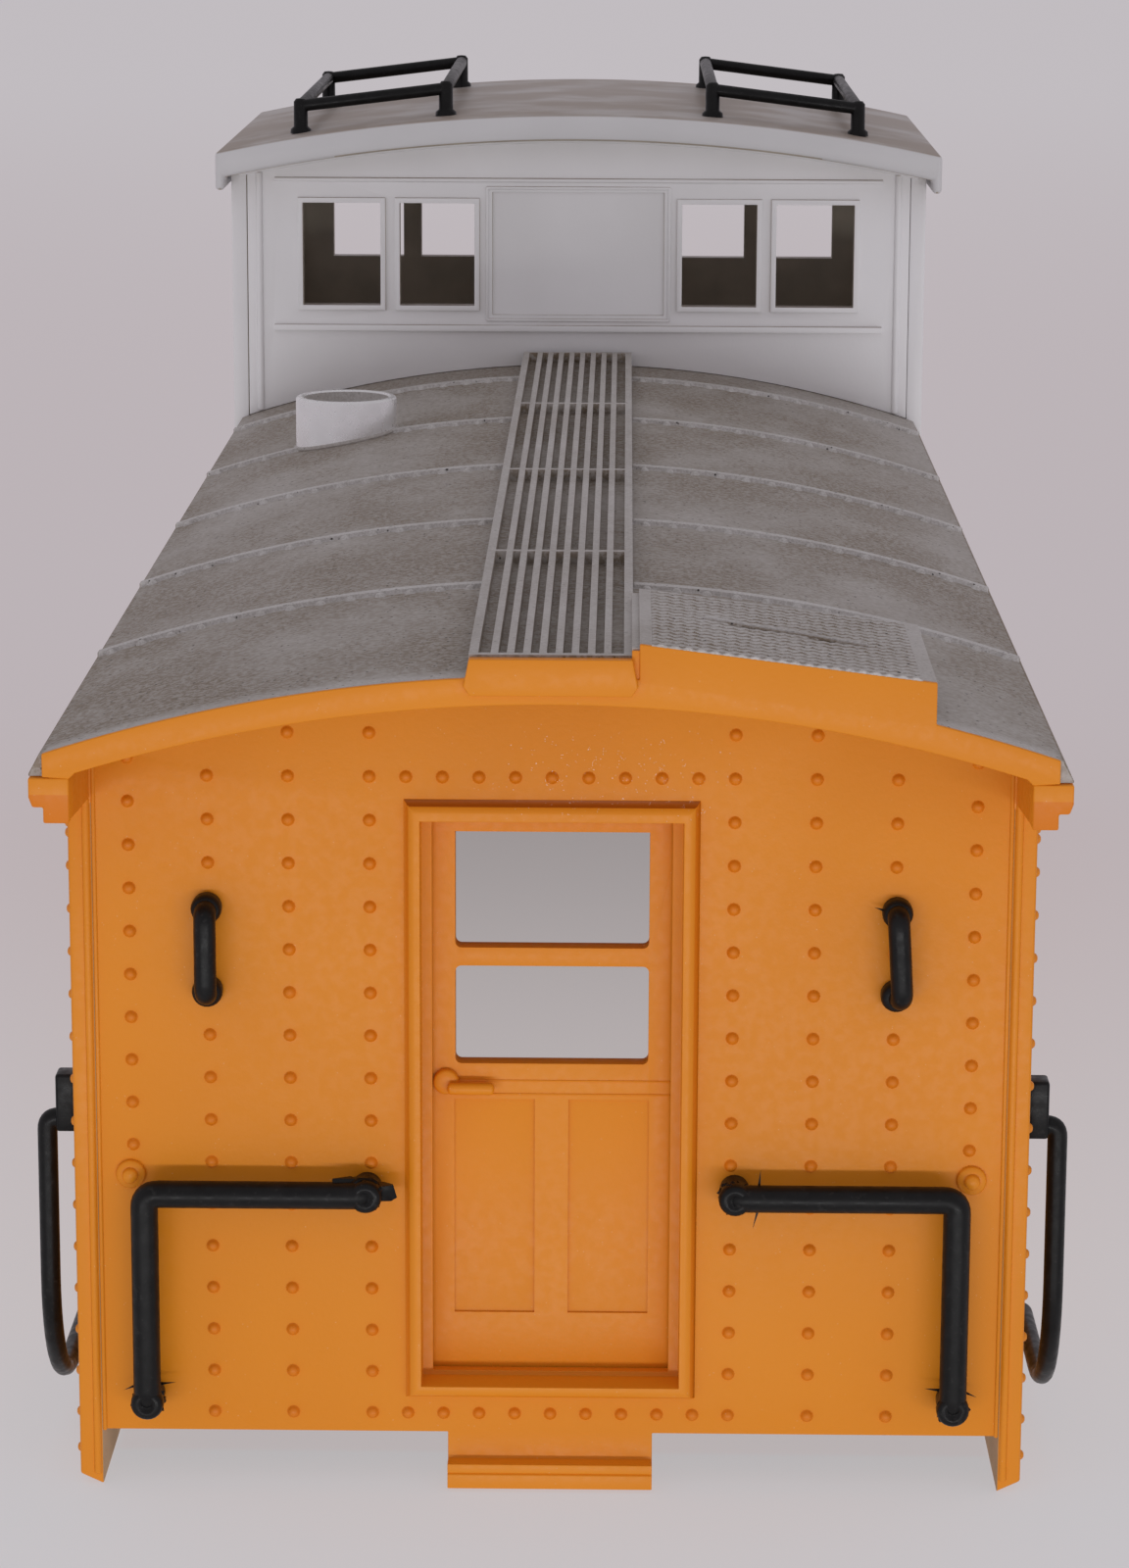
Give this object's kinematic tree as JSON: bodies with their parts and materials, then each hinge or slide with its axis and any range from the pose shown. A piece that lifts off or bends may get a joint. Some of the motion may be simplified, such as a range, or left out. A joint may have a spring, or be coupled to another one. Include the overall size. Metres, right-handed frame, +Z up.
{
  "type": "model caboose body",
  "caption": "Riveted model caboose body with hinged end doors, arched roof, running boards, cupola, smokejack and handrails.",
  "frame": {"origin": "below the middle of the body, in the plane of the skirt bottoms", "axes": "+Y along the car from the pictured end to the cupola end, +X across it, +Z up"},
  "size_m": [0.0704, 0.2382, 0.0856],
  "materials": {
    "yellow_paint": "satin paint with a fine orange-peel grain",
    "silver_paint": "matt silver-grey paint with brown dust",
    "white_paint": "satin white paint",
    "black_plastic": "satin moulded plastic",
    "bright_metal_paint": "bright silver",
    "steel_pin": "plain wire"
  },
  "bodies": {
    "shell": {"end_wall_front": "yellow_paint", "hinge_pin_front": "steel_pin", "roof_fascia_front": "yellow_paint", "tread_platform_front": "silver_paint", "end_rail_front_left": "black_plastic", "end_grab_front_left": "black_plastic", "side_rail_front_left": "black_plastic", "end_rail_front_right": "black_plastic", "end_grab_front_right": "black_plastic", "side_rail_front_right": "black_plastic", "end_wall_rear": "yellow_paint", "hinge_pin_rear": "steel_pin", "roof_fascia_rear": "yellow_paint", "tread_platform_rear": "silver_paint", "end_rail_rear_left": "black_plastic", "end_grab_rear_left": "black_plastic", "side_rail_rear_left": "black_plastic", "end_rail_rear_right": "black_plastic", "end_grab_rear_right": "black_plastic", "side_rail_rear_right": "black_plastic", "side_left": "yellow_paint", "side_right": "yellow_paint", "roof": "silver_paint", "eave_rail_front_left": "yellow_paint", "eave_rail_rear_left": "yellow_paint", "cupola_side_left": "white_paint", "cupola_rail_left": "black_plastic", "eave_rail_front_right": "yellow_paint", "eave_rail_rear_right": "yellow_paint", "cupola_side_right": "white_paint", "cupola_rail_right": "black_plastic", "running_board_front": "silver_paint", "running_board_rear": "silver_paint", "smokejack": "bright_metal_paint", "cupola_roof": "white_paint", "cupola_wall_front": "white_paint", "cupola_wall_rear": "white_paint"},
    "door_front": {"door_front": "yellow_paint", "door_handle_front": "yellow_paint"},
    "door_rear": {"door_rear": "yellow_paint", "door_handle_rear": "yellow_paint"}
  },
  "joints": [
    {"name": "door_front_hinge", "type": "hinge", "parent": "shell", "child": "door_front", "pos_m": [0.00945, -0.1071, 0.027], "axis": [0, 0, -1], "range_deg": [0, 95]},
    {"name": "door_rear_hinge", "type": "hinge", "parent": "shell", "child": "door_rear", "pos_m": [-0.00945, 0.1071, 0.027], "axis": [0, 0, -1], "range_deg": [0, 95]}
  ]
}
